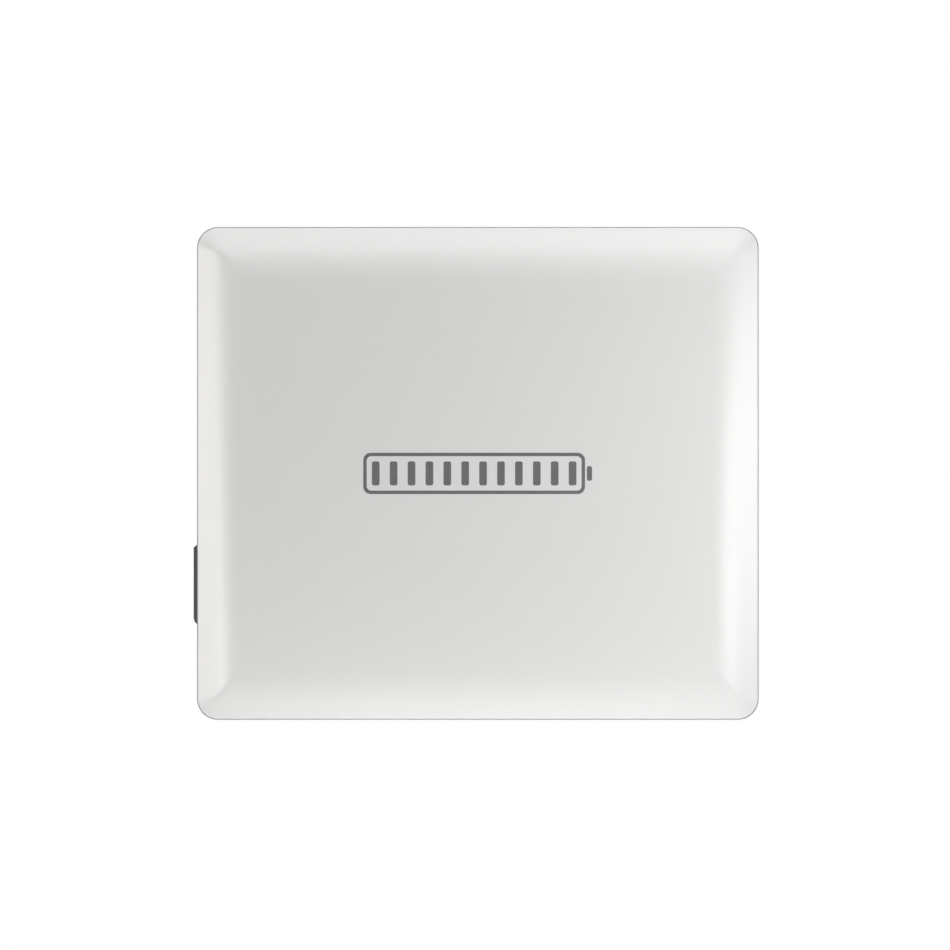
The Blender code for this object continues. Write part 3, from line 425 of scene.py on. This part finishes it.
def cover_ring(inset, y):
    """The cover's outline at a depth, drawn in by inset, and by less than that on the side tapers."""
    corner = max(COVER_CORNER - inset * CORNER_CLOSING, INNER_CORNER)
    side_inset = min(inset, EDGE_RADIUS) + max(inset - EDGE_RADIUS, 0.0) * SIDE_TAPER
    outline = rounded_rectangle(COVER_HALF_X - side_inset, COVER_HALF_Z - inset, corner, CORNER_STEPS)
    return [(x, y, z) for x, z in outline]


def lip_and_wall_rings():
    """From the return lip's inner edge, round onto the side wall and forward to the edge radius."""
    # The lip's inner edge, its outer edge, and the turn onto the side wall.
    rings = [
        cover_ring(LIP_WIDTH, COVER_REAR_Y - 0.0004),
        cover_ring(LIP_RADIUS, COVER_REAR_Y - 0.0001),
        cover_ring(0.0, COVER_REAR_Y - 0.0008),
    ]
    length = COVER_EDGE_Y + EDGE_RADIUS - COVER_REAR_Y
    for step in range(1, WALL_STEPS + 1):
        rings.append(cover_ring(0.0, COVER_REAR_Y + length * step / WALL_STEPS))
    return rings


def edge_and_face_rings():
    """Round the edge radius, from the side wall into the taper's lean, and up the taper to the flat."""
    turn = math.pi / 2 - math.atan(TAPER_SLOPE)
    rings = []
    for step in range(1, RADIUS_STEPS + 1):
        angle = turn * step / RADIUS_STEPS
        inset = EDGE_RADIUS * (1 - math.cos(angle))
        rings.append(cover_ring(inset, COVER_EDGE_Y + EDGE_RADIUS * (1 - math.sin(angle))))
    start_inset = EDGE_RADIUS * (1 - math.cos(turn))
    start_y = COVER_EDGE_Y + EDGE_RADIUS * (1 - math.sin(turn))
    # The arc ends a little behind the taper's line, and the face makes that up evenly on its way in.
    drop = start_y + cover_rise(start_inset) - COVER_EDGE_Y
    span = TAPER_WIDTH + TAPER_BLEND - start_inset
    for step in range(1, TAPER_STEPS + 1):
        inset = start_inset + span * step / TAPER_STEPS
        fade = drop * (1 - step / TAPER_STEPS)
        rings.append(cover_ring(inset, COVER_EDGE_Y - cover_rise(inset) + fade))
    return rings


def front_cover():
    """The moulded tray, with painted shade: a darker copy of the white on the side wall and a thin grey
    line round the edge radius.
    """
    rings = lip_and_wall_rings() + edge_and_face_rings()
    mesh = to_mesh(loft(rings, close_end=True), "front_cover_shell")
    mesh.shade_smooth()
    piece = link("front_cover_shell", mesh, WHITE, "front_cover")
    mesh.materials.append(SIDE_WHITE_PAINTED_SHADE)
    mesh.materials.append(EDGE_LINE_PAINTED_SHADE)
    around = len(rings[0])
    shade_line_start = SIDE_STEPS * around
    shade_line_end = (SIDE_STEPS + SHADE_LINE_STEPS) * around
    # The lip and side wall take the darker copy of the white: painted shade.
    for face in mesh.polygons[:shade_line_start]:
        face.material_index = 1
    # The first steps round the edge radius take the grey line: painted shade.
    for face in mesh.polygons[shade_line_start:shade_line_end]:
        face.material_index = 2
    sheet = piece.modifiers.new("wall", "SOLIDIFY")
    sheet.thickness = COVER_WALL
    sheet.offset = -1.0
    apply_modifiers(piece)
    piece.data.set_sharp_from_angle(angle=math.radians(50))
    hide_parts("front_cover")


front_cover()


# ---------------------------------------------------------------- printed mark and cover ribs
PRINT_DEPTH = 0.00024  # half of it stands proud of the cover's face
MARK_MIDDLE_X = -0.006
EMBED = 0.0004  # how far ribs and bosses reach into the cover's wall


def add_box(shape, low, high):
    """Adds a block between two corners."""
    low, high = Vector(low), Vector(high)
    matrix = Matrix.Translation((low + high) / 2) @ Matrix.Diagonal((*(high - low), 1.0))
    bmesh.ops.create_cube(shape, size=1.0, matrix=matrix)


def printed(name, outline, holes=(), shift=0.0):
    """A thin printed shape on the cover's face, shift metres right of the mark's middle."""
    curve = bpy.data.curves.new(name, "CURVE")
    curve.dimensions = "2D"
    curve.fill_mode = "BOTH"
    curve.extrude = PRINT_DEPTH / 2
    for loop in (outline, *holes):
        spline = curve.splines.new("POLY")
        spline.points.add(len(loop) - 1)
        for point, (x, z) in zip(spline.points, loop):
            point.co = (x + MARK_MIDDLE_X + shift, z, 0.0, 1.0)
        spline.use_cyclic_u = True
    holder = bpy.data.objects.new(name, curve)
    bpy.context.scene.collection.objects.link(holder)
    graph = bpy.context.evaluated_depsgraph_get()
    mesh = bpy.data.meshes.new_from_object(holder.evaluated_get(graph))
    bpy.data.objects.remove(holder)
    mesh.transform(Matrix.Translation((0, COVER_FRONT_Y, 0)) @ Matrix.Rotation(math.pi / 2, 4, "X"))
    shape = bmesh.new()
    shape.from_mesh(mesh)
    weld(shape)
    shape.to_mesh(mesh)
    shape.free()
    mesh.name = name
    link(name, mesh, PRINT, "front_cover")


def printed_mark():
    """A plain charge gauge printed in the middle of the cover: a long battery outline with bars in it."""
    half_x, half_z, stroke, corner = 0.180, 0.0335, 0.0055, 0.012
    outer = rounded_rectangle(half_x, half_z, corner, 8)
    inner = rounded_rectangle(half_x - stroke, half_z - stroke, corner - stroke * 0.8, 8)
    printed("gauge_outline", outer, [inner])
    cap_half, cap_gap = 0.0042, 0.0030
    cap = rounded_rectangle(cap_half, 0.012, 0.0035, 6)
    printed("gauge_cap", cap, shift=half_x + cap_gap + cap_half)
    bars, gap, bar_half = 12, 0.0085, 0.0062
    inside = half_x - stroke - gap
    pitch = 2 * (inside - bar_half) / (bars - 1)
    bar = rounded_rectangle(bar_half, half_z - stroke - gap, 0.0032, 5)
    for number in range(bars):
        printed(f"gauge_bar_{number + 1}", bar, shift=bar_half - inside + number * pitch)


printed_mark()

STUDS = [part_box(f"cover_stud_{number}") for number in range(1, 5)]
INNER_FACE_Y = COVER_FRONT_Y + COVER_WALL


def cover_ribs():
    """Moulded ribs on the back of the cover's face, clear of the studs."""
    rib_half, rib_depth, pitch, margin = 0.0008, 0.0055, 0.08, 0.098
    upright_ribs, level_ribs, stud_clearance = 9, 7, 0.02
    reach_x, reach_z = COVER_HALF_X - margin, COVER_HALF_Z - margin
    base_y, top_y = INNER_FACE_Y - EMBED, INNER_FACE_Y + rib_depth
    stud_x = (STUDS[0][0].x + STUDS[0][1].x) / 2
    shape = bmesh.new()
    for number in range(upright_ribs):
        x = (number - (upright_ribs - 1) / 2) * pitch
        if abs(abs(x) - abs(stud_x)) > stud_clearance:
            add_box(shape, (x - rib_half, base_y, -reach_z), (x + rib_half, top_y, reach_z))
    for number in range(level_ribs):
        z = (number - (level_ribs - 1) / 2) * pitch
        add_box(shape, (-reach_x, base_y, z - rib_half), (reach_x, top_y, z + rib_half))
    link("cover_ribs", to_mesh(shape, "cover_ribs"), WHITE, "front_cover")


def circle_ring(middle, radius, y, steps=40):
    """A ring of points about a middle, at a depth."""
    ring = []
    for step in range(steps):
        angle = step * math.tau / steps
        ring.append((middle.x + radius * math.cos(angle), y, middle.z + radius * math.sin(angle)))
    return ring


def stud_bosses():
    """A round boss about each stud, on the back of the cover's face."""
    inner_radius, outer_radius, height = 0.0125, 0.0150, 0.0035
    base_y, top_y = INNER_FACE_Y - EMBED, INNER_FACE_Y + height
    profile = ((outer_radius, base_y), (outer_radius, top_y), (inner_radius, top_y), (inner_radius, base_y))
    shape = bmesh.new()
    for low, high in STUDS:
        middle = (low + high) / 2
        rings = [circle_ring(middle, radius, y) for radius, y in profile]
        part = loft(rings + rings[:1])
        weld(part)
        holder = to_mesh(part, "boss")
        shape.from_mesh(holder)
        bpy.data.meshes.remove(holder)
    mesh = to_mesh(shape, "stud_bosses")
    smooth(mesh, 40)
    link("stud_bosses", mesh, WHITE, "front_cover")


cover_ribs()
stud_bosses()


# ---------------------------------------------------------------- housing, lids and back
refined("rear_housing", "chassis", HOUSING, edge=0.0012, segments=3)
refined("heat_sink", "chassis", SINK)
refined("upper_wall_rail", "chassis", BRACKET, edge=0.0004)
refined("lower_wall_rail", "chassis", BRACKET, edge=0.0004)
refined("bracket_spine", "chassis", BRACKET, edge=0.0004)
refined("hanger_hook_left", "chassis", HOOK, edge=0.0006)
refined("hanger_hook_right", "chassis", HOOK, edge=0.0006)
refined("battery_lid", "chassis", LID, edge=0.0008, angle=25, smoothing=20)
refined("wiring_cover", "chassis", LID, edge=0.0008, angle=25, smoothing=20)
refined("guard_flap", "guard_flap", SLATE)
refined("switch_bezel", "chassis", SLATE_LIGHT, edge=0.0003)
refined("isolator_knob", "isolator_knob", KNOB, edge=0.0006)
refined("conduit_hub", "chassis", HUB, edge=0.0006)
refined("entry_plug", "chassis", BLACK, edge=0.0006)


def add_dome(shape, place, radius, squash):
    """Adds a rivet's head: a ball, flattened by squash, which is given for each axis."""
    matrix = Matrix.Translation(place) @ Matrix.Diagonal((*squash, 1.0))
    bmesh.ops.create_uvsphere(shape, u_segments=20, v_segments=10, radius=radius, matrix=matrix)


def rating_plate():
    """A blank foil plate on the housing's right side, held by four small rivets."""
    face_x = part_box("rear_housing")[1].x
    y, z = (-0.095, -0.035), (-0.23, -0.13)
    embed, thickness, rivet_inset = 0.0002, 0.0005, 0.005
    shape = bmesh.new()
    add_box(shape, (face_x - embed, y[0], z[0]), (face_x + thickness, y[1], z[1]))
    mesh = to_mesh(shape, "rating_plate")
    piece = link("rating_plate", mesh, PLATE, "chassis")
    bevel = piece.modifiers.new("corners", "BEVEL")
    bevel.width = 0.0002
    bevel.segments = 2
    apply_modifiers(piece)
    shape = bmesh.new()
    for rivet_y in (y[0] + rivet_inset, y[1] - rivet_inset):
        for rivet_z in (z[0] + rivet_inset, z[1] - rivet_inset):
            add_dome(shape, (face_x + thickness, rivet_y, rivet_z), 0.0020, (0.45, 1.0, 1.0))
    mesh = to_mesh(shape, "rating_plate_rivets")
    mesh.shade_smooth()
    link("rating_plate_rivets", mesh, SCREW, "chassis")


rating_plate()


def hook_rivets():
    """Dome rivets that hold the hanger hooks to the housing's back."""
    plate_thickness, side_inset, lower_row, upper_row = 0.004, 0.016, 0.012, 0.036
    shape = bmesh.new()
    for side in ("left", "right"):
        low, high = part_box(f"hanger_hook_{side}")
        for x in (low.x + side_inset, (low.x + high.x) / 2, high.x - side_inset):
            for z in (low.z + lower_row, low.z + upper_row):
                add_dome(shape, (x, low.y + plate_thickness, z), 0.0042, (1.0, 0.5, 1.0))
    mesh = to_mesh(shape, "hook_rivets")
    mesh.shade_smooth()
    link("hook_rivets", mesh, SCREW, "chassis")


hook_rivets()

for number in range(1, 5):
    refined(f"cover_stud_{number}", "front_cover", NYLON)
    refined(f"cover_clip_{number}", "chassis", BLACK)
    refined(f"wiring_screw_{number}", "chassis", SCREW)
for number in range(1, 7):
    refined(f"lid_screw_{number}", "chassis", SCREW)
for side in ("left", "right"):
    refined(f"lock_screw_{side}", "chassis", DARK_SCREW)
    refined(f"rubber_buffer_{side}", "chassis", RUBBER, edge=0.0015, segments=3)

# The other CAD nodes keep their meshes and only take a finish.
CARRIED = {
    RUBBER: ("lid_seal", "wiring_seal", "shaft_seal"),
    SCREW: ("flap_hinge_pin", "isolator_shaft"),
    LENS: ("status_lens",),
    FILM: ("battery_module_left", "battery_module_right"),
    BLACK: (
        "busbar_carrier_left",
        "busbar_carrier_right",
        "isolator_body",
        "ac_terminal_block",
        "dc_contactor",
    ),
    POTTING: ("power_converter_left", "power_converter_right"),
    CLAMP: ("module_clamp_bar",),
    BOARD: ("power_board", "bms_board", "comm_board"),
    CERAMIC: ("main_fuse",),
    COPPER: ("earth_bar",),
    JACKET: ("dc_cable",),
    GREY_JACKET: ("ac_cable",),
}
for material, names in CARRIED.items():
    for name in names:
        NODES[name].data.materials.clear()
        NODES[name].data.materials.append(material)


# ---------------------------------------------------------------- floor, light and camera
FLOOR_RADIUS = 1.15
FLOOR_MIDDLE = (0.0, -0.10, -1.32)


def floor():
    """A pale studio floor, well below the unit, which hangs clear of it."""
    mesh = bpy.data.meshes.new("studio_floor")
    shape = bmesh.new()
    bmesh.ops.create_circle(shape, cap_ends=True, segments=96, radius=FLOOR_RADIUS)
    bmesh.ops.translate(shape, verts=shape.verts, vec=FLOOR_MIDDLE)
    shape.to_mesh(mesh)
    shape.free()
    plane = bpy.data.objects.new("studio_floor", mesh)
    bpy.context.scene.collection.objects.link(plane)
    surface = Surface("pale_floor", (0.86, 0.86, 0.86), 0.8)
    surface.vary_colour(surface.noise(0.4, 2.0), 0.99, 1.01)
    mesh.materials.append(surface.material)


floor()

AIM = Vector((0.0, -0.20, 0.0))
# Name, place, width, height, watts, colour. The softboxes show as soft bands on the cover's tapers.
# Left and right are as seen from the front, but as seen from behind for the two lamps at the back.
LIGHTS = (
    ("left_softbox", (-3.29, -4.55, 0.0), 1.2, 3.6, 5.7, (1.0, 0.99, 0.98)),
    ("left_softbox_outer", (-3.80, -4.17, 0.0), 1.2, 3.6, 95.3, (1.0, 0.985, 0.97)),
    ("right_softbox", (1.76, -2.44, 0.0), 0.6, 1.8, 5.9, (1.0, 1.0, 1.0)),
    ("right_near", (1.15, -1.0, 0.0), 0.6, 1.2, 7.8, (1.0, 1.0, 1.0)),
    ("top_softbox", (0.0, -4.55, 3.23), 3.6, 1.2, 13.8, (1.0, 1.0, 1.0)),
    ("top_softbox_outer", (0.0, -4.17, 3.74), 3.6, 1.2, 22.6, (1.0, 1.0, 1.0)),
    ("top_left_softbox", (-2.65, -4.35, 2.60), 1.3, 1.3, 15.4, (1.0, 0.99, 0.98)),
    ("bottom_softbox", (0.0, -1.49, -2.65), 1.8, 0.6, 15.7, (1.0, 1.0, 1.0)),
    ("bottom_graze", (0.0, -0.38, -0.88), 1.2, 0.12, 2.4, (1.0, 1.0, 1.0)),
    ("left_skim", (-2.3, -0.36, 0.0), 0.3, 2.0, 13.0, (1.0, 0.985, 0.97)),
    ("right_skim", (2.3, -0.36, 0.0), 0.3, 2.0, 4.1, (1.0, 1.0, 1.0)),
    ("top_skim", (0.0, -0.36, 2.2), 2.0, 0.3, 30.6, (1.0, 1.0, 1.0)),
    ("front_far", (1.9, -4.6, 1.6), 1.8, 1.8, 22.7, (1.0, 1.0, 1.0)),
    ("back_left", (1.6, 2.0, 1.2), 1.2, 1.2, 45.0, (1.0, 1.0, 1.0)),
    ("back_right", (-1.8, 1.8, 0.4), 1.2, 1.2, 25.0, (1.0, 1.0, 1.0)),
)


def area_light(name, place, width, height, watts, colour):
    """A rectangular lamp that faces the unit and isn't seen by the camera."""
    lamp = bpy.data.lights.new(name, "AREA")
    lamp.shape = "RECTANGLE"
    lamp.size, lamp.size_y = width, height
    lamp.energy = watts
    lamp.color = colour
    holder = bpy.data.objects.new(name, lamp)
    bpy.context.scene.collection.objects.link(holder)
    holder.location = place
    holder.rotation_euler = (AIM - Vector(place)).to_track_quat("-Z", "Z").to_euler()
    holder.visible_camera = False


for light in LIGHTS:
    area_light(*light)


def studio_world():
    """White to the camera, and to the object a soft glow from behind, so that the lamps model its face."""
    world = bpy.data.worlds.new("studio")
    bpy.context.scene.world = world
    world.use_nodes = True
    tree = world.node_tree
    tree.nodes.clear()
    output = tree.nodes.new("ShaderNodeOutputWorld")
    blend = tree.nodes.new("ShaderNodeMixShader")
    path = tree.nodes.new("ShaderNodeLightPath")
    backdrop = tree.nodes.new("ShaderNodeBackground")
    backdrop.inputs["Color"].default_value = (1.0, 1.0, 1.0, 1.0)
    studio = tree.nodes.new("ShaderNodeBackground")
    studio.inputs["Color"].default_value = (0.98, 0.99, 1.0, 1.0)
    direction = tree.nodes.new("ShaderNodeTexCoord")
    split = tree.nodes.new("ShaderNodeSeparateXYZ")
    glow = tree.nodes.new("ShaderNodeMapRange")
    glow.interpolation_type = "SMOOTHSTEP"
    glow.inputs["From Min"].default_value = -0.05
    glow.inputs["From Max"].default_value = 0.55
    glow.inputs["To Min"].default_value = 0.0
    glow.inputs["To Max"].default_value = 0.85
    tree.links.new(direction.outputs["Generated"], split.inputs["Vector"])
    tree.links.new(split.outputs["Y"], glow.inputs["Value"])
    tree.links.new(glow.outputs["Result"], studio.inputs["Strength"])
    tree.links.new(path.outputs["Is Camera Ray"], blend.inputs["Fac"])
    tree.links.new(studio.outputs["Background"], blend.inputs[1])
    tree.links.new(backdrop.outputs["Background"], blend.inputs[2])
    tree.links.new(blend.outputs["Shader"], output.inputs["Surface"])


studio_world()


def camera():
    """A long lens, straight on, a little left of the cover's middle and a little below it."""
    sensor, lens = 36.0, 200.0
    seen, middle_x, middle_z = 1.5457, -0.0046, -0.0026
    distance = seen * lens / sensor
    data = bpy.data.cameras.new("camera")
    data.sensor_width, data.lens = sensor, lens
    data.clip_end = 100.0
    holder = bpy.data.objects.new("camera", data)
    bpy.context.scene.collection.objects.link(holder)
    holder.location = (middle_x, COVER_EDGE_Y - distance, middle_z)
    holder.rotation_euler = (math.pi / 2, 0.0, 0.0)
    bpy.context.scene.camera = holder


camera()
bpy.context.scene.view_settings.view_transform = "Standard"
